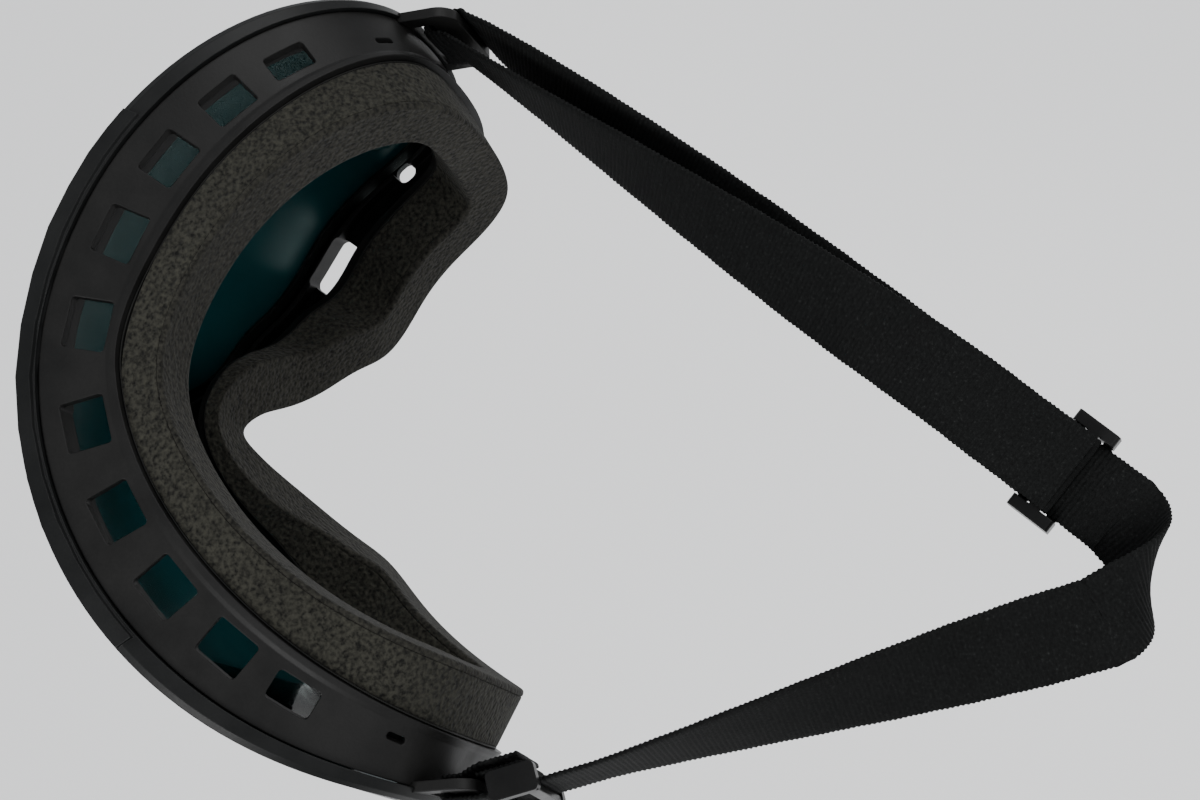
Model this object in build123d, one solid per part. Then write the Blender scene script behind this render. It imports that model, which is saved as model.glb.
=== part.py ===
"""Welding goggles: soft face frame, front retaining rim, three-lens pack, foam seal, webbing strap.

Frame of reference, in millimetres: +X to the wearer's left, +Y back towards the head, +Z up.
The origin is on the centre line, on the plane where the foam meets the frame, at eye height.

Most pieces follow one wrap-round shape.  FACE is the plan curve of the frame's rear flange, and
RIM is the plan curve of its front edge.  A place on the wrap is (x, z, depth): x and z lie on the
flange, and depth runs forward from it along the wall.  A negative depth runs back into the foam.
"""
from build123d import *
from math import cos, hypot, pi, sin
import os

# ---- wrap-round shape of the frame ----
FACE_REACH = 86.1       # half width where the face curve would turn straight back
FACE_SWEEP = 84.2       # how far back that is
FACE_POWER = 1.59
FACE_BLUNT = 5.0        # rounds the face curve where it crosses the centre line
RIM_REACH = 95.0
RIM_SWEEP = 89.6
RIM_POWER = 1.92
DEPTH = 21.9            # flange to front edge, on the centre line
FAN = 1.2475            # the front edge is this much wider than the flange at the middle
FAN_LIMIT = 102.4       # and widens no further than this towards the temples
FAN_POWER = 8
HALF_WIDTH = 79.0       # half width of the flange
BROW_HEIGHT = 52.1      # top of the flange above the eye line
BROW_POWER = 3.03
FLARE = 4.5             # the wall opens outwards by this much from flange to front edge

# lower half of the flange's outline, from temple to nose: (x, z)
LOWER_OUTLINE = [
    (78.7, -13), (77.6, -27), (74.6, -38.5), (68.5, -43.5), (60, -43.5),
    (51, -44), (42, -45.5), (34, -42.5), (27, -36), (19.5, -30.5),
    (13, -23.5), (8, -14.5), (3.8, -8),
]
NOSE_TOP = -5.8
BROW_STEPS = 8

# ---- shell, front rim and lenses: depths from the flange ----
WALL = 2.2
FLANGE_WIDTH = 14.0
FLANGE_THICK = 2.0
LIP = 0.7               # the flange stands proud of the wall
WALL_END = 17.1
LEDGE = (12.6, 13.8)    # inner ledge that the lens pack rests on
LEDGE_INSET = 3.4
RIM_START = 17.4
RIM_INSIDE = 2.4        # inset of the rim's window edge
RIM_LIP_START = 20.5
RAISED_HALF = 49.3      # half width of the rim's raised brow, measured on the flange
RAISED_STEP = 1.3
LENS_REACH = 75.4
LENS_INSET = 0.2
COVER_LENS = (18.5, 19.9)
FILTER_LENS = (16.55, 18.1)
GASKET = (15.45, 16.15)
INNER_LENS = (14.25, 15.05)
GASKET_INSET = (0.7, 5.0)

# ---- foam seal ----
FOAM_SET_IN = 1.0
FOAM_WIDTH = 14.2
FOAM_THICK = 12.9       # at the temples; the seal is thinner at the brow and over the nose
BROW_SEAL = 0.66        # share of that thickness at the middle of the brow
NOSE_SEAL = 0.25        # and at the top of the nose
CHEEK_START = 32.0      # the seal has its full thickness outside this place below the eyes
FILM_THICK = 0.4
FACING_THICK = 1.6
FILM_GAP = 0.35
BOND_GAP = 0.06

# ---- vents: (x on the flange, share of the depth, length, height) ----
TOP_CORNER = 0.9
BOTTOM_CORNER = 2.0
TOP_VENTS = [
    (10.4, 0.36, 11.6, 9.6), (28.9, 0.36, 11.6, 9.6), (44.5, 0.36, 11.4, 9.4),
    (57.1, 0.35, 10.8, 8.8), (66.8, 0.34, 10.4, 6.6), (76.3, 0.25, 5.0, 1.7),
]
BOTTOM_VENTS = [
    (22.0, 0.68, 5.0, 3.0), (47.5, 0.45, 14.7, 8.0),
    (61.0, 0.66, 4.6, 2.6), (67.0, 0.62, 5.2, 5.0),
]

# ---- strap tabs at the temples ----
TAB_X = 90.2            # middle of the tab's plate
TAB_THICK = 2.4
TAB_FRONT = 47.5        # the tab's root is trimmed to the frame it stands on
TAB_REAR = 66.0
TAB_HEIGHT = 31.0
TAB_CORNER = 5.0
SLOT = (55.2, 59.8)     # where the slot starts and ends, front to back
SLOT_HEIGHT = 22.5

# ---- head strap: pulled back to a turn behind the head ----
STRAP_WIDTH = 20.0
STRAP_THICK = 1.3
LAYER_GAP = 0.35
TURN_CENTRE = Vector(49.8, 202.7, -18.3)
TURN_AXIS = Vector(0.965, -0.254, -0.100).normalized()
TURN_BACK = Vector(0.2435, 0.9635, -0.1107).normalized()
TURN_UP = TURN_AXIS.cross(TURN_BACK)
TURN_RADIUS = 7.5
TURN_SHIFT = (-11.1, 13.0)   # where the strap enters and leaves the turn, along its axis
LOOP_OUTSIDE = 92.6     # the loop round the tab's bar: its outer run, sideways
LOOP_INSIDE = 87.7      # its inner run
INNER_START = 61.4      # where the inner run leaves the slot, front to back
RUN_GAP = 1.8           # the strap's spans stop short of each other
TURN_GAP = 3.6
TURN_STEPS = 10
OUTER_EASE = 0.75        # how early each run turns flat
INNER_EASE = 1.25
LEFT_EASE = 1.3
RIGHT_SLIDER_BACK = 16.0    # right slider's middle, in front of the turn
LEFT_SLIDER_OUT = 7.5       # left slider's middle, behind the tab
RIGHT_TRAVEL = 20.0
LEFT_TRAVEL = 8.0

# ---- strap sliders ----
SLIDER_LENGTH = 11.0
SLIDER_RAIL = 2.8
SLIDER_BAR = 2.4
SLIDER_MID_BAR = 2.8
SLIDER_BAR_THICK = 1.6
FOLD_FLAP = 8.0        # the strap's end is folded round the middle bar and sewn down
TACK = (2.4, 15.0, 0.5)
TACK_BACK = 5.6


def face_depth(x):
    bent = hypot(x, FACE_BLUNT) ** FACE_POWER - FACE_BLUNT**FACE_POWER
    share = min(bent / FACE_REACH**FACE_POWER, 1.0)
    return FACE_SWEEP * (1 - (1 - share) ** (1 / FACE_POWER))


def rim_depth(x):
    share = min(abs(x) / RIM_REACH, 1.0)
    return -DEPTH + RIM_SWEEP * (1 - (1 - share**RIM_POWER) ** (1 / RIM_POWER))


def face_slope(x):
    return (face_depth(x + 0.05) - face_depth(x - 0.05)) / 0.1


def rim_reach(x):
    """Sideways place on the front edge that stands in front of x on the flange."""
    wide = FAN * x
    return wide / (1 + abs(wide / FAN_LIMIT) ** FAN_POWER) ** (1 / FAN_POWER)


def wrap(x, z, depth):
    """The point that lies depth in front of the place (x, z) on the flange."""
    here = Vector(x, face_depth(x), z)
    if depth < 0:
        back = Vector(-face_slope(x), 1, 0).normalized()
        return here - back * depth
    front_x = rim_reach(x)
    front = Vector(front_x, rim_depth(front_x), z)
    return here + (front - here) * (depth / DEPTH)


def half_outline():
    """Flange outline from the brow's middle down one side to the nose: (x, z)."""
    brow = []
    for step in range(1, BROW_STEPS + 1):
        angle = pi / 2 * step / BROW_STEPS
        across = HALF_WIDTH * sin(angle) ** (2 / BROW_POWER)
        up = BROW_HEIGHT * max(cos(angle), 0) ** (2 / BROW_POWER)
        brow.append((across, up))
    return brow + LOWER_OUTLINE


def full_outline():
    side = half_outline()
    mirrored = [(-x, z) for x, z in reversed(side)]
    return [(0, BROW_HEIGHT)] + side + [(0, NOSE_TOP)] + mirrored


OUTLINE = full_outline()


def inset_outline(inset):
    """The outline moved in towards the eyes by inset, measured along the wrapped surface."""
    moved = []
    count = len(OUTLINE)
    for i, (x, z) in enumerate(OUTLINE):
        before = OUTLINE[i - 1]
        after = OUTLINE[(i + 1) % count]
        stretch = hypot(1, face_slope(x))
        run = (after[0] - before[0]) * stretch
        rise = after[1] - before[1]
        length = hypot(run, rise)
        moved.append((x + inset * rise / length / stretch, z - inset * run / length))
    return moved


def seal_share(x, z):
    """Share of the seal's full thickness beside one place of the flange's outline."""
    if z > 0:
        return BROW_SEAL + (1 - BROW_SEAL) * (abs(x) / HALF_WIDTH) ** 3
    return NOSE_SEAL + (1 - NOSE_SEAL) * min(1, abs(x) / CHEEK_START)


def loop(inset, depth):
    """A closed smooth curve round the wrap, at one inset and one depth."""
    points = []
    for (x, z), (edge_x, edge_z) in zip(inset_outline(inset), OUTLINE):
        local = depth * seal_share(edge_x, edge_z) if depth < 0 else depth
        points.append(wrap(x, z, local))
    return Edge.make_spline(points, periodic=True)


def ring(profile):
    """The solid made by carrying a closed profile of (inset, depth) corners round the wrap."""
    loops = [loop(inset, depth) for inset, depth in profile]
    faces = []
    for i, edge in enumerate(loops):
        faces.append(Face.make_surface_from_curves(edge, loops[i - 1]))
    return Solid(Shell(faces))


def flat_ring(insets, depths):
    """A ring of rectangular section."""
    near, far = insets
    low, high = depths
    return ring([(near, low), (far, low), (far, high), (near, high)])


def wall_inset(depth):
    return -FLARE * depth / DEPTH


def height_at(outline, x, upper):
    """Height of the upper or lower side of an outline at x."""
    side = outline[: len(outline) // 2 + 1]
    run = side[: BROW_STEPS + 1] if upper else side[BROW_STEPS:]
    for (x1, z1), (x2, z2) in zip(run, run[1:]):
        low, high = min(x1, x2), max(x1, x2)
        if low <= abs(x) <= high and high > low:
            return z1 + (z2 - z1) * (abs(x) - x1) / (x2 - x1)
    raise ValueError("x lies outside the outline")


def loft_quads(quads):
    wires = [Wire.make_polygon(corners, close=True) for corners in quads]
    return Solid.make_loft(wires, ruled=True)


def plate(inset, depths, steps=40):
    """A thin wrapped plate, such as a lens, cut upright at both temples."""
    near, far = depths
    outline = inset_outline(inset)
    quads = []
    for i in range(steps + 1):
        x = LENS_REACH * sin(pi * (i / steps - 0.5))
        low = height_at(outline, x, False)
        high = height_at(outline, x, True)
        quads.append([wrap(x, low, near), wrap(x, high, near), wrap(x, high, far), wrap(x, low, far)])
    return loft_quads(quads)


def vent_cutter(vent, upper, side):
    """A block that cuts one vent square through the wall."""
    x, share, length, height = vent
    depth = share * DEPTH
    outline = inset_outline(wall_inset(depth) + WALL / 2)
    z = height_at(outline, x, upper)
    z_out = height_at(outline, x + 1, upper)
    here = wrap(side * x, z, depth)
    along = wrap(side * (x + 1), z_out, depth) - here
    forward = wrap(side * x, z, depth + 1) - here
    plane = Plane(origin=here, x_dir=along, z_dir=along.cross(forward))
    corner = TOP_CORNER if upper else BOTTOM_CORNER
    window = plane * RectangleRounded(length, height, min(corner, 0.42 * height))
    return extrude(window, amount=5, both=True)


def frame_body():
    """Soft moulded frame: flange, flared wall, and the inner ledge for the lenses."""
    ledge_back, ledge_front = LEDGE
    shell = ring([
        (FLANGE_WIDTH, 0), (-LIP, 0), (-LIP, 1.4), (wall_inset(2.4), 2.4),
        (wall_inset(WALL_END), WALL_END), (wall_inset(WALL_END) + WALL, WALL_END),
        (wall_inset(ledge_front) + WALL, ledge_front), (LEDGE_INSET, ledge_front),
        (LEDGE_INSET, ledge_back), (wall_inset(ledge_back) + WALL, ledge_back),
        (wall_inset(3) + WALL, FLANGE_THICK), (FLANGE_WIDTH, FLANGE_THICK),
    ])
    cutters = []
    for side in (-1, 1):
        cutters += [vent_cutter(vent, True, side) for vent in TOP_VENTS]
        cutters += [vent_cutter(vent, False, side) for vent in BOTTOM_VENTS]
    return shell - cutters


def brow_bead():
    """Raised moulding along the middle of the rim's top edge."""
    outside = wall_inset(DEPTH)
    root = inset_outline(outside + 1.2)
    crest = inset_outline(outside - RAISED_STEP)
    quads = []
    steps = 16
    for i in range(steps + 1):
        x = RAISED_HALF * sin(pi * (i / steps - 0.5))
        low = height_at(root, x, True)
        high = height_at(crest, x, True)
        quads.append([
            wrap(x, low, RIM_START), wrap(x, high, RIM_START + 0.8),
            wrap(x, high, DEPTH - 0.4), wrap(x, low, DEPTH - 0.4),
        ])
    return loft_quads(quads)


def front_rim():
    """Hard rim that clips over the wall's front edge and holds the lenses in."""
    outside = wall_inset(DEPTH)
    seat = wall_inset(RIM_START) + WALL + 0.3
    body = ring([
        (outside - 0.1, RIM_START), (outside - 0.5, RIM_LIP_START), (outside, DEPTH),
        (RIM_INSIDE, DEPTH), (RIM_INSIDE, RIM_LIP_START), (seat, RIM_LIP_START),
        (seat, RIM_START),
    ])
    return body + brow_bead()


def strap_tab(side, frame, rim):
    """Upright plate at the temple with one slot; the strap loops round its rear bar."""
    middle = (TAB_REAR + TAB_FRONT) / 2
    tab = Box(TAB_THICK, TAB_REAR - TAB_FRONT, TAB_HEIGHT)
    tab = fillet(tab.edges().filter_by(Axis.X).group_by(Axis.Y)[-1], TAB_CORNER)
    slot_y = sum(SLOT) / 2 - middle
    tab -= Pos(0, slot_y, 0) * Box(2 * TAB_THICK, SLOT[1] - SLOT[0], SLOT_HEIGHT)
    tab = Pos(side * TAB_X, middle, 0) * tab - frame - rim
    return tab.solids().sort_by(Axis.Y)[-1]


def section(centre, along, across):
    """Corners of the webbing's cross-section."""
    across = (across - along * across.dot(along)).normalized()
    face = along.cross(across)
    wide = across * (STRAP_WIDTH / 2)
    thick = face * (STRAP_THICK / 2)
    return [centre + wide + thick, centre - wide + thick, centre - wide - thick, centre + wide - thick]


def webbing(stations):
    return loft_quads([section(*station) for station in stations])


def turning(start, end, across_start, across_end, ease, steps=9):
    """Stations along a straight stretch over which the webbing turns about its own line.

    An ease above 1 keeps the turn for the far end, and one below 1 brings it forward.
    """
    along = (end - start).normalized()
    stations = []
    for i in range(steps + 1):
        share = i / steps
        angle = share**ease * pi / 2
        across = across_start * cos(angle) + across_end * sin(angle)
        stations.append((start + (end - start) * share, along, across))
    return stations


def turn_point(angle):
    """Middle of the strap on the turn behind the head, and its direction; -90 is the way in."""
    enter, leave = TURN_SHIFT
    rate = (leave - enter) / pi
    shift = enter + rate * (angle + pi / 2)
    spoke = TURN_BACK * cos(angle) + TURN_UP * sin(angle)
    heading = (TURN_UP * cos(angle) - TURN_BACK * sin(angle)) * TURN_RADIUS + TURN_AXIS * rate
    return TURN_CENTRE + spoke * TURN_RADIUS + TURN_AXIS * shift, heading.normalized()


UPRIGHT = Vector(0, 0, 1)
TURN_IN = turn_point(-pi / 2)[0]
TURN_OUT = turn_point(pi / 2)[0]
RIGHT_TAB = Vector(-LOOP_OUTSIDE, TAB_REAR, 0)
LEFT_TAB = Vector(LOOP_OUTSIDE, TAB_REAR, 0)
RIGHT_ALONG = (TURN_IN - RIGHT_TAB).normalized()
LEFT_ALONG = (TURN_OUT - LEFT_TAB).normalized()
RIGHT_FACE = (TURN_UP - RIGHT_ALONG * TURN_UP.dot(RIGHT_ALONG)).normalized()
RIGHT_ACROSS = RIGHT_FACE.cross(RIGHT_ALONG)
LEFT_FACE = UPRIGHT.cross(LEFT_ALONG).normalized()
RIGHT_SLIDER = TURN_IN - RIGHT_ALONG * RIGHT_SLIDER_BACK
LEFT_SLIDER = LEFT_TAB + LEFT_ALONG * LEFT_SLIDER_OUT

# levels above the outer run, at a slider
FOLD_LEVEL = STRAP_THICK + LAYER_GAP
BAR_LEVEL = FOLD_LEVEL + STRAP_THICK / 2 + 0.1 + SLIDER_BAR_THICK / 2
FLAP_LEVEL = 2 * BAR_LEVEL - FOLD_LEVEL
INNER_LEVEL = FLAP_LEVEL + STRAP_THICK + TACK[2] + LAYER_GAP

# a slider's own frame: X along the strap to the turn, Y across it, Z towards the inner run
RIGHT_SLIDER_FRAME = Plane(origin=RIGHT_SLIDER, x_dir=RIGHT_ALONG, z_dir=RIGHT_FACE)
LEFT_SLIDER_FRAME = Plane(origin=LEFT_SLIDER, x_dir=LEFT_ALONG, z_dir=LEFT_FACE)


def strap_loop(side):
    """Webbing that passes through the tab's slot and lies along both faces of its bar."""
    slot_y = sum(SLOT) / 2
    path = Polyline(
        (side * LOOP_OUTSIDE, TAB_REAR - 0.1), (side * LOOP_OUTSIDE, slot_y),
        (side * LOOP_INSIDE, slot_y), (side * LOOP_INSIDE, INNER_START - RUN_GAP),
    )
    strip = trace(path, line_width=STRAP_THICK)
    return extrude(strip, amount=STRAP_WIDTH / 2, both=True)


def right_outer_run():
    flat = RIGHT_SLIDER_BACK + RIGHT_TRAVEL + SLIDER_LENGTH / 2 + 3
    start = RIGHT_TAB + RIGHT_ALONG * RUN_GAP
    end = TURN_IN - RIGHT_ALONG * TURN_GAP
    bend = TURN_IN - RIGHT_ALONG * flat
    stations = turning(start, bend, UPRIGHT, RIGHT_ACROSS, OUTER_EASE)
    return webbing(stations + [(end, RIGHT_ALONG, RIGHT_ACROSS)])


def right_inner_run():
    clear = RIGHT_TRAVEL + SLIDER_LENGTH / 2 + 3
    start = Vector(-LOOP_INSIDE, INNER_START, 0)
    end = RIGHT_SLIDER + RIGHT_FACE * INNER_LEVEL + RIGHT_ALONG * 2
    bend = RIGHT_SLIDER + RIGHT_FACE * INNER_LEVEL - RIGHT_ALONG * clear
    stations = turning(start, bend, UPRIGHT, RIGHT_ACROSS, INNER_EASE)
    return webbing(stations + [(end, RIGHT_ALONG, RIGHT_ACROSS)])


def left_outer_run():
    """Single run from the left slider to the turn."""
    flat = LEFT_SLIDER_OUT + LEFT_TRAVEL + SLIDER_LENGTH / 2 + 3
    start = LEFT_TAB + LEFT_ALONG * RUN_GAP
    bend = LEFT_TAB + LEFT_ALONG * flat
    end = TURN_OUT - LEFT_ALONG * TURN_GAP
    first = (start, LEFT_ALONG, UPRIGHT)
    return webbing([first] + turning(bend, end, UPRIGHT, TURN_AXIS * -1, LEFT_EASE))


def left_inner_run():
    start = Vector(LOOP_INSIDE, INNER_START, 0)
    level = LEFT_SLIDER + LEFT_FACE * INNER_LEVEL
    bend = level - LEFT_ALONG * (SLIDER_LENGTH / 2 + 1)
    end = level + LEFT_ALONG * 2
    along = (bend - start).normalized()
    return webbing([(start, along, UPRIGHT), (bend, LEFT_ALONG, UPRIGHT), (end, LEFT_ALONG, UPRIGHT)])


def strap_turn():
    """Webbing where the strap turns back behind the head."""
    stations = []
    for i in range(TURN_STEPS + 1):
        point, heading = turn_point(pi * (i / TURN_STEPS - 0.5))
        stations.append((point, heading, TURN_AXIS * -1))
    return webbing(stations)


def slider(frame):
    """Three-bar slider: outer bars under the strap, middle bar above it, rails at both edges."""
    low = -(STRAP_THICK / 2 + LAYER_GAP + SLIDER_BAR_THICK)
    high = BAR_LEVEL + SLIDER_BAR_THICK / 2
    inside = STRAP_WIDTH / 2 + LAYER_GAP
    rail = Box(SLIDER_LENGTH, SLIDER_RAIL, high - low)
    rail = fillet(rail.edges().filter_by(Axis.Y), 1.2)
    body = []
    for edge in (-1, 1):
        body.append(Pos(0, edge * (inside + SLIDER_RAIL / 2), (high + low) / 2) * rail)
    reach = 2 * inside + SLIDER_RAIL
    bar = Box(SLIDER_BAR, reach, SLIDER_BAR_THICK)
    bar_x = (SLIDER_LENGTH - SLIDER_BAR) / 2 - 0.4
    for end in (-1, 1):
        body.append(Pos(end * bar_x, 0, low + SLIDER_BAR_THICK / 2) * bar)
    middle = Box(SLIDER_MID_BAR, reach, SLIDER_BAR_THICK)
    body.append(Pos(0, 0, BAR_LEVEL) * middle)
    whole = body[0]
    for piece in body[1:]:
        whole += piece
    return frame * whole


def strap_end(frame):
    """End of the webbing, folded round the slider's middle bar."""
    nose = SLIDER_MID_BAR / 2 + 0.8
    path = Polyline(
        (-FOLD_FLAP, FLAP_LEVEL), (nose, FLAP_LEVEL), (nose, FOLD_LEVEL), (-4.5, FOLD_LEVEL),
    )
    strip = Plane.XZ * trace(path, line_width=STRAP_THICK)
    return frame * extrude(strip, amount=STRAP_WIDTH / 2, both=True)


def bar_tack(frame):
    """Raised block of stitching that holds the folded end."""
    length, width, thick = TACK
    level = FLAP_LEVEL + (STRAP_THICK + thick) / 2 + BOND_GAP
    return frame * (Pos(-TACK_BACK, 0, level) * Box(length, width, thick))


def foam_layer(near, thick, inset):
    """A layer of the face seal, starting near millimetres behind the flange."""
    inner = FOAM_SET_IN + FOAM_WIDTH
    return flat_ring((inset, inner), (-near - thick, -near))


def build():
    foam_start = FILM_GAP + FILM_THICK + BOND_GAP
    facing_start = foam_start + FOAM_THICK + BOND_GAP
    frame = frame_body()
    rim = front_rim()
    parts = {
        "frame_body": frame,
        "front_rim": rim,
        "cover_lens": plate(LENS_INSET, COVER_LENS),
        "filter_lens": plate(LENS_INSET, FILTER_LENS),
        "lens_gasket": flat_ring(GASKET_INSET, GASKET),
        "inner_lens": plate(LENS_INSET + 0.7, INNER_LENS),
        "foam_film": foam_layer(FILM_GAP, FILM_THICK, FOAM_SET_IN),
        "face_foam": foam_layer(foam_start, FOAM_THICK, FOAM_SET_IN),
        "foam_facing": foam_layer(facing_start, FACING_THICK, FOAM_SET_IN),
        "strap_tab_left": strap_tab(1, frame, rim),
        "strap_tab_right": strap_tab(-1, frame, rim),
        "strap_loop_left": strap_loop(1),
        "strap_loop_right": strap_loop(-1),
        "strap_outer_left": left_outer_run(),
        "strap_inner_left": left_inner_run(),
        "strap_outer_right": right_outer_run(),
        "strap_inner_right": right_inner_run(),
        "strap_turn": strap_turn(),
        "slider_left": slider(LEFT_SLIDER_FRAME),
        "slider_right": slider(RIGHT_SLIDER_FRAME),
        "strap_end_left": strap_end(LEFT_SLIDER_FRAME),
        "strap_end_right": strap_end(RIGHT_SLIDER_FRAME),
        "bar_tack_left": bar_tack(LEFT_SLIDER_FRAME),
        "bar_tack_right": bar_tack(RIGHT_SLIDER_FRAME),
    }
    os.makedirs("parts", exist_ok=True)
    for node, shape in parts.items():
        export_step(shape, f"parts/{node}.step")


if __name__ == "__main__":
    build()
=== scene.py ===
"""Welding goggles: final meshes and materials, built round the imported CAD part. Sizes here are in millimetres
until a mesh is made, and the row frame is in metres: +Y from the lens to the wearer, +Z up."""
import math
from math import cos, hypot, pi, sin

import bmesh
import bpy
import numpy as np
from mathutils import Matrix, Vector


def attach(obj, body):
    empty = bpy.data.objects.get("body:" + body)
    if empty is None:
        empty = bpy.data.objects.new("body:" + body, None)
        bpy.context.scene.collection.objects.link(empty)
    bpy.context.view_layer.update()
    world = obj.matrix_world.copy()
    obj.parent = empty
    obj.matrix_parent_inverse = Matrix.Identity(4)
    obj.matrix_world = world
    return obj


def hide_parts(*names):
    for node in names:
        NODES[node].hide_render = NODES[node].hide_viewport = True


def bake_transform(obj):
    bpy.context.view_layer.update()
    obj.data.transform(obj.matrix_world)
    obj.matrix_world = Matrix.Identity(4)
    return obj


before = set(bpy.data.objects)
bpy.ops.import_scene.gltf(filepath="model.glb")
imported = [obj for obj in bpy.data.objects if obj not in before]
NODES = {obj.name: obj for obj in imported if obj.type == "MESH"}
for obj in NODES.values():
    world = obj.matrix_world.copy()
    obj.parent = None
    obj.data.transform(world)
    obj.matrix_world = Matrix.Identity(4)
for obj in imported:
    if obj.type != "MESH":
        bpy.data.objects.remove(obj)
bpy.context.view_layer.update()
MM = 0.001

# ---------------------------------------------------------------- the wrapped surface, as in the CAD part
FACE_REACH, FACE_SWEEP, FACE_POWER, FACE_BLUNT = 86.1, 84.2, 1.59, 5.0
RIM_REACH, RIM_SWEEP, RIM_POWER, DEPTH = 95.0, 89.6, 1.92, 21.9
FAN, FAN_LIMIT, FAN_POWER = 1.2475, 102.4, 8
HALF_WIDTH, BROW_HEIGHT, BROW_POWER = 79.0, 52.1, 3.03
LOWER_OUTLINE = [
    (78.7, -13), (77.6, -27), (74.6, -38.5), (68.5, -43.5), (60, -43.5), (51, -44), (42, -45.5),
    (34, -42.5), (27, -36), (19.5, -30.5), (13, -23.5), (8, -14.5), (3.8, -8),
]
NOSE_TOP, BROW_STEPS = -5.8, 8
BROW_SEAL, NOSE_SEAL, CHEEK_START = 0.66, 0.25, 32.0
FOAM_SET_IN, FOAM_WIDTH, FOAM_START, FOAM_THICK, FACING_THICK = 1.0, 14.2, 0.81, 12.9, 1.6


def face_depth(x):
    bent = hypot(x, FACE_BLUNT) ** FACE_POWER - FACE_BLUNT**FACE_POWER
    share = min(bent / FACE_REACH**FACE_POWER, 1.0)
    return FACE_SWEEP * (1 - (1 - share) ** (1 / FACE_POWER))


def rim_depth(x):
    share = min(abs(x) / RIM_REACH, 1.0)
    return -DEPTH + RIM_SWEEP * (1 - (1 - share**RIM_POWER) ** (1 / RIM_POWER))


def face_slope(x):
    return (face_depth(x + 0.05) - face_depth(x - 0.05)) / 0.1


def wrap(x, z, depth):
    """The point that lies depth in front of the place (x, z) on the flange; behind it when negative."""
    here = Vector((x, face_depth(x), z))
    if depth < 0:
        return here - Vector((-face_slope(x), 1, 0)).normalized() * depth
    wide = FAN * x
    front_x = wide / (1 + abs(wide / FAN_LIMIT) ** FAN_POWER) ** (1 / FAN_POWER)
    return here + (Vector((front_x, rim_depth(front_x), z)) - here) * (depth / DEPTH)


def full_outline():
    side = []
    for step in range(1, BROW_STEPS + 1):
        angle = pi / 2 * step / BROW_STEPS
        across = HALF_WIDTH * sin(angle) ** (2 / BROW_POWER)
        side.append((across, BROW_HEIGHT * max(cos(angle), 0) ** (2 / BROW_POWER)))
    side += LOWER_OUTLINE
    return [(0, BROW_HEIGHT)] + side + [(0, NOSE_TOP)] + [(-x, z) for x, z in reversed(side)]


OUTLINE = full_outline()


def inset_outline(inset):
    moved = []
    for i, (x, z) in enumerate(OUTLINE):
        before, after = OUTLINE[i - 1], OUTLINE[(i + 1) % len(OUTLINE)]
        stretch = hypot(1, face_slope(x))
        run, rise = (after[0] - before[0]) * stretch, after[1] - before[1]
        length = hypot(run, rise)
        moved.append((x + inset * rise / length / stretch, z - inset * run / length))
    return moved


def seal_share(x, z):
    if z > 0:
        return BROW_SEAL + (1 - BROW_SEAL) * (abs(x) / HALF_WIDTH) ** 3
    return NOSE_SEAL + (1 - NOSE_SEAL) * min(1, abs(x) / CHEEK_START)


def periodic(points, count):
    """A closed cubic spline through the points, as count rows."""
    p = np.array([tuple(q) for q in points], float)
    n = len(p)
    step = np.linalg.norm(np.roll(p, -1, 0) - p, axis=1)
    a = np.zeros((n, n))
    b = np.zeros((n, 3))
    for i in range(n):
        h0, h1 = step[i - 1], step[i]
        a[i, i - 1] += h1
        a[i, i] += 2 * (h0 + h1)
        a[i, (i + 1) % n] += h0
        b[i] = 3 * (h1 / h0 * (p[i] - p[i - 1]) + h0 / h1 * (p[(i + 1) % n] - p[i]))
    tangent = np.linalg.solve(a, b)
    rows = []
    for k in range(count):
        place = k * n / count
        i, t = int(place) % n, place % 1
        j, h = (i + 1) % n, step[i]
        rows.append(
            (2 * t**3 - 3 * t**2 + 1) * p[i] + (t**3 - 2 * t**2 + t) * h * tangent[i]
            + (3 * t**2 - 2 * t**3) * p[j] + (t**3 - t**2) * h * tangent[j]
        )
    return np.array(rows)


def loop(inset, depth, count):
    points = []
    for (x, z), (edge_x, edge_z) in zip(inset_outline(inset), OUTLINE):
        local = depth * seal_share(edge_x, edge_z) if depth < 0 else depth
        points.append(wrap(x, z, local))
    return periodic(points, count)


# ---------------------------------------------------------------- mesh helpers
def mesh_object(name, rows, faces, sharp=None):
    """A mesh from points in millimetres."""
    mesh = bpy.data.meshes.new(name)
    mesh.from_pydata([tuple(c * MM for c in row) for row in rows], [], faces)
    shell = bmesh.new()
    shell.from_mesh(mesh)
    bmesh.ops.recalc_face_normals(shell, faces=shell.faces)
    shell.to_mesh(mesh)
    shell.free()
    mesh.polygons.foreach_set("use_smooth", [True] * len(mesh.polygons))
    if sharp:
        mesh.set_sharp_from_angle(angle=math.radians(sharp))
    obj = bpy.data.objects.new(name, mesh)
    bpy.context.scene.collection.objects.link(obj)
    return obj


def grid_faces(rings, size, close_rings):
    faces = []
    for i in range(rings if close_rings else rings - 1):
        a, b = i * size, (i + 1) % rings * size
        for k in range(size):
            m = (k + 1) % size
            faces.append((a + k, b + k, b + m, a + m))
    return faces


def rounded(profile, radius, steps=5):
    """A closed profile of corners with each corner turned into a small arc."""
    out = []
    for i, corner in enumerate(profile):
        here = np.array(corner, float)
        before = np.array(profile[i - 1], float) - here
        after = np.array(profile[(i + 1) % len(profile)], float) - here
        r = radius[i]
        a = here + before / np.linalg.norm(before) * r
        b = here + after / np.linalg.norm(after) * r
        for k in range(steps + 1):
            t = k / steps
            out.append((1 - t) ** 2 * a + 2 * t * (1 - t) * here + t * t * b)
    return out


def densify(profile, longest):
    out = []
    for i, a in enumerate(profile):
        b = profile[(i + 1) % len(profile)]
        cuts = max(1, math.ceil(np.linalg.norm(b - a) / longest))
        out += [a + (b - a) * k / cuts for k in range(cuts)]
    return out


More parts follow.
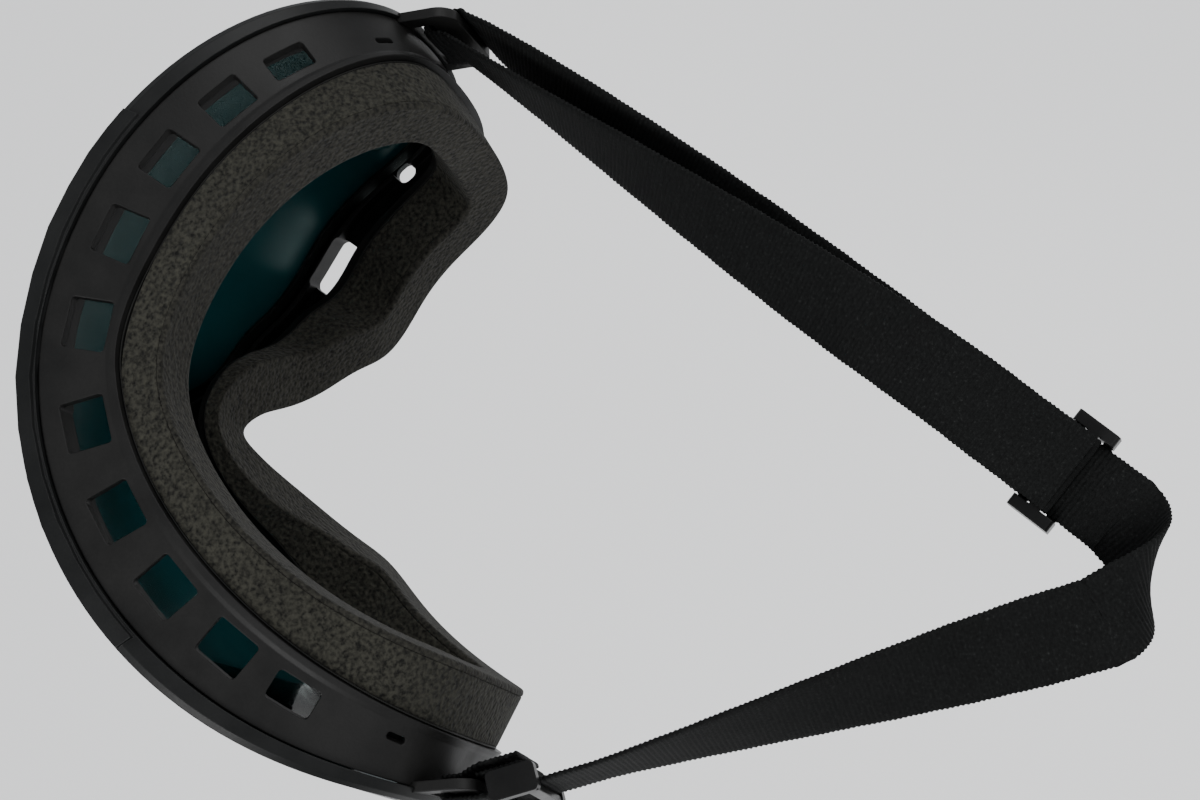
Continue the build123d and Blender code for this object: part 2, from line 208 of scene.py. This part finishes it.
def seal_ring(name, profile, count):
    """A ring of foam that follows the flange, from a closed profile of (inset, depth)."""
    loops = [loop(inset, depth, count) for inset, depth in profile]
    rows = [loops[k][i] for i in range(count) for k in range(len(profile))]
    return mesh_object(name, rows, grid_faces(count, len(profile), True), 60)


# ---------------------------------------------------------------- the strap's line
STRAP_WIDTH, STRAP_THICK, LAYER_GAP = 20.0, 1.3, 0.35
TAB_REAR, SLOT_MIDDLE, LOOP_OUTSIDE, LOOP_INSIDE, INNER_START = 66.0, 57.5, 92.6, 87.7, 61.4
TURN_CENTRE = Vector((49.8, 202.7, -18.3))
TURN_AXIS = Vector((0.965, -0.254, -0.100)).normalized()
TURN_BACK = Vector((0.2435, 0.9635, -0.1107)).normalized()
TURN_UP = TURN_AXIS.cross(TURN_BACK)
TURN_RADIUS, TURN_SHIFT = 7.5, (-11.1, 13.0)
RIGHT_SLIDER_BACK, LEFT_SLIDER_OUT, RIGHT_TRAVEL, LEFT_TRAVEL = 16.0, 7.5, 20.0, 8.0
SLIDER_LENGTH, SLIDER_BAR_THICK, SLIDER_MID_BAR, FOLD_FLAP, TACK_THICK = 11.0, 1.6, 2.8, 8.0, 0.5
UPRIGHT = Vector((0, 0, 1))


def turn_point(angle):
    enter, leave = TURN_SHIFT
    rate = (leave - enter) / pi
    spoke = TURN_BACK * cos(angle) + TURN_UP * sin(angle)
    heading = (TURN_UP * cos(angle) - TURN_BACK * sin(angle)) * TURN_RADIUS + TURN_AXIS * rate
    shift = enter + rate * (angle + pi / 2)
    return TURN_CENTRE + spoke * TURN_RADIUS + TURN_AXIS * shift, heading.normalized()


TURN_IN, TURN_OUT = turn_point(-pi / 2)[0], turn_point(pi / 2)[0]
RIGHT_TAB, LEFT_TAB = Vector((-LOOP_OUTSIDE, TAB_REAR, 0)), Vector((LOOP_OUTSIDE, TAB_REAR, 0))
RIGHT_ALONG, LEFT_ALONG = (TURN_IN - RIGHT_TAB).normalized(), (TURN_OUT - LEFT_TAB).normalized()
RIGHT_FACE = (TURN_UP - RIGHT_ALONG * TURN_UP.dot(RIGHT_ALONG)).normalized()
RIGHT_ACROSS = RIGHT_FACE.cross(RIGHT_ALONG)
LEFT_FACE = UPRIGHT.cross(LEFT_ALONG).normalized()
LEFT_ACROSS = LEFT_FACE.cross(LEFT_ALONG)
RIGHT_SLIDER = TURN_IN - RIGHT_ALONG * RIGHT_SLIDER_BACK
LEFT_SLIDER = LEFT_TAB + LEFT_ALONG * LEFT_SLIDER_OUT
FOLD_LEVEL = STRAP_THICK + LAYER_GAP
BAR_LEVEL = FOLD_LEVEL + STRAP_THICK / 2 + 0.1 + SLIDER_BAR_THICK / 2
FLAP_LEVEL = 2 * BAR_LEVEL - FOLD_LEVEL
INNER_LEVEL = FLAP_LEVEL + STRAP_THICK + TACK_THICK + LAYER_GAP


def turning(start, end, across_start, across_end, ease, steps=24):
    out = []
    for i in range(steps + 1):
        share = i / steps
        angle = share**ease * pi / 2
        out.append((start + (end - start) * share, across_start * cos(angle) + across_end * sin(angle)))
    return out


def smoothed(stations, spacing, passes, hold=2):
    """Evenly spaced (centre, across) rows along the stations, with their corners relaxed."""
    points = np.array([tuple(s[0]) for s in stations])
    across = np.array([tuple(s[1]) for s in stations])
    reach = np.concatenate([[0], np.cumsum(np.linalg.norm(np.diff(points, axis=0), axis=1))])
    count = max(8, int(round(reach[-1] / spacing)))
    even = np.linspace(0, reach[-1], count + 1)
    points = np.stack([np.interp(even, reach, points[:, k]) for k in range(3)], 1)
    across = np.stack([np.interp(even, reach, across[:, k]) for k in range(3)], 1)
    after_last = len(points) - hold + 1
    for _ in range(passes):
        for row in (points, across):
            row[hold:-hold] = (row[hold - 1:-hold - 1] + 2 * row[hold:-hold] + row[hold + 1:after_last]) / 4
    return points, across


RIB_PITCH, RIB_HEIGHT, TOOTH = 1.15, 0.22, 0.24


def ribbon(name, stations, passes, seed):
    """Ribbed elastic webbing along the stations: ribs across it, and a small tooth at each edge of every rib."""
    points, across = smoothed(stations, RIB_PITCH / 6, passes)
    heading = np.gradient(points, axis=0)
    heading /= np.linalg.norm(heading, axis=1)[:, None]
    across -= heading * np.sum(across * heading, 1)[:, None]
    across /= np.linalg.norm(across, axis=1)[:, None]
    face = np.cross(heading, across)
    reach = np.concatenate([[0], np.cumsum(np.linalg.norm(np.diff(points, axis=0), axis=1))])
    half, thick = STRAP_WIDTH / 2, STRAP_THICK / 2
    shares = [-1, -0.965, -0.8, -0.55, -0.25, 0, 0.25, 0.55, 0.8, 0.965, 1]
    rows = []
    for i, centre in enumerate(points):
        phase = 2 * pi * reach[i] / RIB_PITCH
        crest = 0.5 + 0.5 * cos(phase)
        tooth = TOOTH * crest
        wander = 0.05 * sin(reach[i] * 0.37 + seed) + 0.03 * sin(reach[i] * 1.13 + 2 * seed)
        swell = thick - RIB_HEIGHT * (1 - crest) + wander * 0.3
        for sign in (1, -1):
            for share in (shares if sign > 0 else reversed(shares)):
                edge = abs(share)
                lift = swell * (0.45 if edge == 1 else 0.86 if edge > 0.9 else 1)
                bow = 0.06 * sin(share * 5 + seed + reach[i] * 0.11)
                side = share * (half - TOOTH + tooth + wander) if edge > 0.9 else share * half
                rows.append(centre + across[i] * side + face[i] * (sign * lift + bow * (1 - edge)))
    size = 2 * len(shares)
    faces = grid_faces(len(points), size, False)
    faces.append(tuple(range(size))[::-1])
    last = (len(points) - 1) * size
    faces.append(tuple(range(last, last + size)))
    return mesh_object(name, rows, faces, 70), float(reach[-1]) * MM


# ---------------------------------------------------------------- materials
def colour(*rgb):
    return (*rgb, 1.0)


class Shader:
    """A Principled material with helpers to chain procedural nodes."""

    def __init__(self, name, **constants):
        self.material = bpy.data.materials.new(name)
        self.material.use_nodes = True
        self.tree = self.material.node_tree
        self.shader = self.tree.nodes["Principled BSDF"]
        for key, value in constants.items():
            self.shader.inputs[key.replace("_", " ")].default_value = value
        self.coords = self.tree.nodes.new("ShaderNodeTexCoord").outputs["Object"]

    def link(self, a, b):
        self.tree.links.new(a, b)

    def noise(self, scale, detail=4.0, rough=0.55):
        node = self.tree.nodes.new("ShaderNodeTexNoise")
        node.inputs["Scale"].default_value = scale
        node.inputs["Detail"].default_value = detail
        node.inputs["Roughness"].default_value = rough
        self.link(self.coords, node.inputs["Vector"])
        return node.outputs["Fac"]

    def cells(self, scale):
        node = self.tree.nodes.new("ShaderNodeTexVoronoi")
        node.inputs["Scale"].default_value = scale
        self.link(self.coords, node.inputs["Vector"])
        return node.outputs["Distance"]

    def ramp(self, source, stops, socket=None):
        node = self.tree.nodes.new("ShaderNodeValToRGB")
        elements = node.color_ramp.elements
        while len(elements) < len(stops):
            elements.new(0.5)
        for element, (place, value) in zip(elements, stops):
            element.position = place
            element.color = value if isinstance(value, tuple) else (value, value, value, 1)
        self.link(source, node.inputs["Fac"])
        if socket:
            self.link(node.outputs["Color"], self.shader.inputs[socket])
        return node.outputs["Color"]

    def multiply(self, a, b, amount=1.0):
        node = self.tree.nodes.new("ShaderNodeMix")
        node.data_type = "RGBA"
        node.blend_type = "MULTIPLY"
        node.inputs["Factor"].default_value = amount
        self.link(a, node.inputs["A"])
        self.link(b, node.inputs["B"])
        return node.outputs["Result"]

    def bump(self, source, distance, strength=1.0, over=None, radius=0.0):
        node = self.tree.nodes.new("ShaderNodeBump")
        node.inputs["Strength"].default_value = strength
        node.inputs["Distance"].default_value = distance
        self.link(source, node.inputs["Height"])
        if over is not None:
            self.link(over, node.inputs["Normal"])
        elif radius:
            bevel = self.tree.nodes.new("ShaderNodeBevel")
            bevel.samples = 6
            bevel.inputs["Radius"].default_value = radius
            self.link(bevel.outputs["Normal"], node.inputs["Normal"])
        self.link(node.outputs["Normal"], self.shader.inputs["Normal"])
        return node.outputs["Normal"]


def plastic(name, dark, light, rough, grain, bump, radius):
    s = Shader(name, Specular_IOR_Level=0.14)
    broad = s.noise(45, 5)
    fine = s.noise(grain, 3, 0.6)
    tint = s.ramp(broad, [(0.3, dark), (0.72, light)])
    speck = s.ramp(fine, [(0.35, 0.82), (0.65, 1.0)])
    s.link(s.multiply(tint, speck), s.shader.inputs["Base Color"])
    s.ramp(s.noise(90, 6), [(0.3, rough[0]), (0.7, rough[1])], "Roughness")
    s.bump(fine, bump, 0.5, radius=radius)
    return s.material


def lens_material(name, tint, rough, clear, gloss_index=1.5):
    """Optical plastic: tinted right through, or clear with only its gloss showing."""
    s = Shader(name, Specular_IOR_Level=0.5)
    smear = s.noise(60, 4)
    if not clear:
        s.ramp(smear, [(0.25, tint[0]), (0.75, tint[1])], "Base Color")
        s.ramp(s.noise(140, 5), [(0.3, rough), (0.75, rough + 0.06)], "Roughness")
        s.shader.inputs["Specular IOR Level"].default_value = 0.16
        s.bump(s.noise(35, 2), 0.0002, 0.2)
        return s.material
    tree = s.tree
    out = tree.nodes["Material Output"]
    passing = tree.nodes.new("ShaderNodeBsdfTransparent")
    gloss = tree.nodes.new("ShaderNodeBsdfGlossy")
    fresnel = tree.nodes.new("ShaderNodeFresnel")
    mix = tree.nodes.new("ShaderNodeMixShader")
    passing.inputs["Color"].default_value = tint[0]
    fresnel.inputs["IOR"].default_value = gloss_index
    s.link(s.ramp(smear, [(0.3, rough), (0.75, rough + 0.05)]), gloss.inputs["Roughness"])
    s.link(fresnel.outputs["Fac"], mix.inputs["Fac"])
    s.link(passing.outputs["BSDF"], mix.inputs[1])
    s.link(gloss.outputs["BSDF"], mix.inputs[2])
    s.link(mix.outputs["Shader"], out.inputs["Surface"])
    return s.material


def foam_material(name, dark, light, pore, depth):
    s = Shader(name, Roughness=0.95, Specular_IOR_Level=0.12, Sheen_Weight=0.03, Sheen_Roughness=0.6)
    pores = s.cells(pore)
    grain = s.noise(pore * 1.3, 3, 0.6)
    # Speckle from the grain noise, which also drives the bump below: painted pore shade in its dips, the foam's
    # colour in between, and half as bright again on its raised grains.
    tint = s.ramp(grain, [(0.32, dark), (0.55, light), (0.8, tuple(min(1, c * 1.5) for c in light[:3]) + (1,))])
    # Painted shade in the pores: darker towards each cell's centre, where the pore bump dips.
    pore_shade_mask = s.ramp(pores, [(0.05, 0.35), (0.5, 1.0)])
    patch = s.ramp(s.noise(40, 4), [(0.3, 0.82), (0.7, 1.0)])
    s.link(s.multiply(s.multiply(tint, pore_shade_mask, 0.8), patch), s.shader.inputs["Base Color"])
    first = s.bump(pores, depth, 0.7)
    s.bump(grain, depth * 0.6, 0.6, over=first)
    return s.material


def webbing_material(name):
    s = Shader(name, Roughness=0.82, Specular_IOR_Level=0.10, Sheen_Weight=0.012, Sheen_Roughness=0.45)
    fibre = s.noise(1500, 3, 0.65)
    broad = s.ramp(s.noise(60, 4), [(0.3, 0.75), (0.7, 1.0)])
    tint = s.ramp(fibre, [(0.3, colour(0.0012, 0.0013, 0.0013)), (0.62, colour(0.0050, 0.0054, 0.0053)),
                          (0.82, colour(0.024, 0.025, 0.0245))])
    s.link(s.multiply(tint, broad), s.shader.inputs["Base Color"])
    s.bump(fibre, 0.00025, 0.7)
    return s.material


FRAME = plastic(
    "frame_soft_plastic", colour(0.0045, 0.0045, 0.0044), colour(0.010, 0.0098, 0.0094), (0.40, 0.54),
    grain=1500, bump=0.00006, radius=0.0005,
)
RIM = plastic(
    "rim_hard_plastic", colour(0.0035, 0.0038, 0.0038), colour(0.008, 0.0083, 0.0083), (0.34, 0.46),
    grain=1900, bump=0.00005, radius=0.0004,
)
SLIDER = plastic(
    "slider_nylon", colour(0.003, 0.003, 0.003), colour(0.007, 0.007, 0.007), (0.28, 0.42),
    grain=1700, bump=0.00005, radius=0.0004,
)
RUBBER = plastic(
    "gasket_rubber", colour(0.003, 0.003, 0.003), colour(0.007, 0.007, 0.0068), (0.6, 0.8),
    grain=500, bump=0.00003, radius=0.0003,
)
FILM = plastic(
    "foam_film", colour(0.006, 0.006, 0.0055), colour(0.014, 0.014, 0.013), (0.5, 0.7),
    grain=1400, bump=0.00004, radius=0.0002,
)
SHADE = lens_material("shade_lens", (colour(0.0034, 0.026, 0.030), colour(0.0050, 0.034, 0.039)), 0.30, False)
CLEAR = lens_material("cover_lens", (colour(0.93, 0.97, 0.96), None), 0.03, True)
INNER = lens_material("inner_lens", (colour(0.93, 0.98, 0.97), None), 0.04, True, 1.02)
# Painted shade of the foam's open pores: the dark end of both foam speckles.
PORE_SHADE = colour(0.0025, 0.0025, 0.002)
FOAM = foam_material("open_cell_foam", PORE_SHADE, colour(0.0235, 0.0228, 0.0178), pore=760, depth=0.0006)
FACING = foam_material("brushed_facing", PORE_SHADE, colour(0.0195, 0.0187, 0.0150), pore=820, depth=0.0005)
WEBBING = webbing_material("ribbed_webbing")
THREAD = webbing_material("bar_tack_thread")

# ---------------------------------------------------------------- hard pieces keep their CAD meshes
CAD_LOOKS = {
    "frame_body": FRAME, "front_rim": RIM, "lens_gasket": RUBBER, "foam_film": FILM,
    "strap_tab_left": FRAME, "strap_tab_right": FRAME,
    "slider_left": SLIDER, "slider_right": SLIDER,
    "bar_tack_left": THREAD, "bar_tack_right": THREAD,
}
for node, material in CAD_LOOKS.items():
    piece = NODES[node]
    piece.data.materials.clear()
    piece.data.materials.append(material)

# ---------------------------------------------------------------- lenses: smooth wrapped plates
LENS_REACH, LENS_INSET = 75.4, 0.2
COVER_LENS, FILTER_LENS, INNER_LENS = (18.5, 19.9), (16.55, 18.1), (14.25, 15.05)


def height_at(outline, x, upper):
    side = outline[: len(outline) // 2 + 1]
    run = side[: BROW_STEPS + 1] if upper else side[BROW_STEPS:]
    for (x1, z1), (x2, z2) in zip(run, run[1:]):
        low, high = min(x1, x2), max(x1, x2)
        if low <= abs(x) <= high and high > low:
            return z1 + (z2 - z1) * (abs(x) - x1) / (x2 - x1)
    raise ValueError("x lies outside the outline")


def lens_piece(node, inset, depths, material, across=170, rise=14):
    outline = inset_outline(inset)
    rows = []
    for i in range(across + 1):
        x = LENS_REACH * sin(pi * (i / across - 0.5))
        low, high = height_at(outline, x, False), height_at(outline, x, True)
        for depth, order in ((depths[0], range(rise + 1)), (depths[1], range(rise, -1, -1))):
            rows += [wrap(x, low + (high - low) * k / rise, depth) for k in order]
    size = 2 * (rise + 1)
    faces = grid_faces(across + 1, size, False)
    faces.append(tuple(range(size)))
    faces.append(tuple(across * size + k for k in range(size)))
    piece = mesh_object(node + "_smooth", rows, faces, 40)
    piece.data.materials.append(material)
    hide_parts(node)
    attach(piece, "frame")


lens_piece("cover_lens", LENS_INSET, COVER_LENS, CLEAR)
lens_piece("filter_lens", LENS_INSET, FILTER_LENS, SHADE)
lens_piece("inner_lens", LENS_INSET + 0.7, INNER_LENS, INNER)

# ---------------------------------------------------------------- face seal
far = FOAM_SET_IN + FOAM_WIDTH
foam_back = FOAM_START + FOAM_THICK
foam_profile = rounded(
    [(FOAM_SET_IN, -FOAM_START), (far, -FOAM_START), (far, -foam_back), (FOAM_SET_IN, -foam_back)],
    [0.4, 0.4, 0.5, 0.5],
)
foam = seal_ring("face_foam_soft", densify(foam_profile, 1.6), 460)
foam.data.materials.append(FOAM)
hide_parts("face_foam")
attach(foam, "frame")

facing_back = foam_back + 0.06 + FACING_THICK
facing_profile = rounded(
    [(FOAM_SET_IN, -foam_back - 0.06), (far, -foam_back - 0.06), (far, -facing_back), (FOAM_SET_IN, -facing_back)],
    [0.2, 0.2, 1.3, 1.3],
)
facing = seal_ring("foam_facing_soft", densify(facing_profile, 1.4), 460)
facing.data.materials.append(FACING)
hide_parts("foam_facing")
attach(facing, "frame")


# ---------------------------------------------------------------- webbing
def slot_stations(side):
    """From the outer run's start, forward, through the tab's slot, and back to the inner run's start."""
    y = SLOT_MIDDLE
    corners = [(LOOP_OUTSIDE, TAB_REAR), (LOOP_OUTSIDE, y), (LOOP_INSIDE, y), (LOOP_INSIDE, INNER_START)]
    return [(Vector((side * x, back, 0)), UPRIGHT) for x, back in corners]


def fold_stations(slider, along, face, across):
    """The inner run's end: down round the slider's middle bar and back under it."""
    nose = SLIDER_MID_BAR / 2 + 0.8
    places = [(-FOLD_FLAP, FLAP_LEVEL), (nose, FLAP_LEVEL), (nose, FOLD_LEVEL), (-4.4, FOLD_LEVEL)]
    return [(slider + along * a + face * b, across) for a, b in places]


turn_stations = [(turn_point(pi * (i / 40 - 0.5))[0], -TURN_AXIS) for i in range(41)]
left_flat = LEFT_SLIDER_OUT + LEFT_TRAVEL + SLIDER_LENGTH / 2 + 3
right_flat = RIGHT_SLIDER_BACK + RIGHT_TRAVEL + SLIDER_LENGTH / 2 + 3
left_run = turning(LEFT_TAB + LEFT_ALONG * left_flat, TURN_OUT, UPRIGHT, -TURN_AXIS, 1.3)
right_run = turning(RIGHT_TAB, TURN_IN - RIGHT_ALONG * right_flat, UPRIGHT, RIGHT_ACROSS, 0.75)
main_stations = (
    list(reversed(slot_stations(1))) + left_run + list(reversed(turn_stations))
    + list(reversed(right_run)) + slot_stations(-1)[1:]
)


def aligned(stations):
    """The same rows, with each across turned to agree with the one before it."""
    out = [stations[0]]
    for centre, across in stations[1:]:
        out.append((centre, across if across.dot(out[-1][1]) >= 0 else -across))
    return out


main, main_length = ribbon("strap_main", aligned(main_stations), passes=5, seed=0.4)
main.data.materials.append(WEBBING)
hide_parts("strap_outer_left", "strap_outer_right", "strap_turn", "strap_loop_left", "strap_loop_right")
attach(main, "frame")

inner_start_right = Vector((-LOOP_INSIDE, INNER_START + 0.1, 0))
right_clear = RIGHT_TRAVEL + SLIDER_LENGTH / 2 + 3
right_bend = RIGHT_SLIDER + RIGHT_FACE * INNER_LEVEL - RIGHT_ALONG * right_clear
right_inner = turning(inner_start_right, right_bend, UPRIGHT, RIGHT_ACROSS, 1.25)
right_inner.append((RIGHT_SLIDER + RIGHT_FACE * INNER_LEVEL + RIGHT_ALONG * 2, RIGHT_ACROSS))
inner_r, inner_r_length = ribbon("strap_inner_right_soft", aligned(right_inner), passes=20, seed=1.1)
inner_r.data.materials.append(WEBBING)
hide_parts("strap_inner_right")
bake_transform(inner_r)

inner_start_left = Vector((LOOP_INSIDE, INNER_START + 0.1, 0))
left_level = LEFT_SLIDER + LEFT_FACE * INNER_LEVEL
left_bend = left_level - LEFT_ALONG * (SLIDER_LENGTH / 2 + 1)
left_inner = [(inner_start_left, UPRIGHT), (left_bend, UPRIGHT), (left_level + LEFT_ALONG * 2, UPRIGHT)]
inner_l, inner_l_length = ribbon("strap_inner_left_soft", left_inner, passes=10, seed=2.3)
inner_l.data.materials.append(WEBBING)
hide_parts("strap_inner_left")
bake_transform(inner_l)

for name, body, place, along, face, across in (
    ("strap_end_right", "right_slider", RIGHT_SLIDER, RIGHT_ALONG, RIGHT_FACE, RIGHT_ACROSS),
    ("strap_end_left", "left_slider", LEFT_SLIDER, LEFT_ALONG, LEFT_FACE, LEFT_ACROSS),
):
    folded, folded_length = ribbon(name + "_soft", fold_stations(place, along, face, across), passes=2, seed=3.1)
    folded.data.materials.append(WEBBING)
    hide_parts(name)
    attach(folded, body)

# ---------------------------------------------------------------- floor, light and camera
floor_mesh = bpy.data.meshes.new("floor")
floor_mesh.from_pydata([(-6, -6, -0.42), (6, -6, -0.42), (6, 6, -0.42), (-6, 6, -0.42)], [], [(0, 1, 2, 3)])
floor = bpy.data.objects.new("floor", floor_mesh)
bpy.context.scene.collection.objects.link(floor)
pale = Shader("pale_floor", Roughness=0.9, Specular_IOR_Level=0.1)
pale.ramp(pale.noise(2, 2), [(0.3, colour(0.80, 0.80, 0.80)), (0.7, colour(0.84, 0.84, 0.84))], "Base Color")
floor_mesh.materials.append(pale.material)

world = bpy.data.worlds.new("studio")
bpy.context.scene.world = world
world.use_nodes = True
world.node_tree.nodes["Background"].inputs["Color"].default_value = colour(0.95, 0.97, 1.0)
world.node_tree.nodes["Background"].inputs["Strength"].default_value = 0.75


def area_light(name, place, target, size, power, tone=(1, 1, 1)):
    light = bpy.data.lights.new(name, "AREA")
    light.shape = "RECTANGLE"
    light.size, light.size_y = size
    light.energy = power
    light.color = tone
    obj = bpy.data.objects.new(name, light)
    obj.location = place
    obj.rotation_euler = (Vector(target) - Vector(place)).to_track_quat("-Z", "Y").to_euler()
    bpy.context.scene.collection.objects.link(obj)


area_light("key", (0.9, -0.35, 0.9), (0.0, 0.04, 0.0), (0.7, 0.5), 17)
area_light("fill", (-0.8, 0.5, 0.8), (0.0, 0.06, 0.0), (0.8, 0.6), 8)
area_light("rear", (0.1, 1.1, 0.6), (0.0, 0.05, 0.0), (0.8, 0.5), 6)

camera_data = bpy.data.cameras.new("camera")
camera_data.lens = 76.35
camera_data.sensor_width = 36
camera_data.clip_start = 0.01
camera = bpy.data.objects.new("camera", camera_data)
right = Vector((0.039, 0.953, -0.301)).normalized()
back = Vector((0.277, 0.279, 0.920)).normalized()
up = back.cross(right).normalized()
right = up.cross(back)
camera.matrix_world = Matrix.Translation((0.1635, 0.2542, 0.5286)) @ Matrix((right, up, back)).transposed().to_4x4()
bpy.context.scene.collection.objects.link(camera)
bpy.context.scene.camera = camera
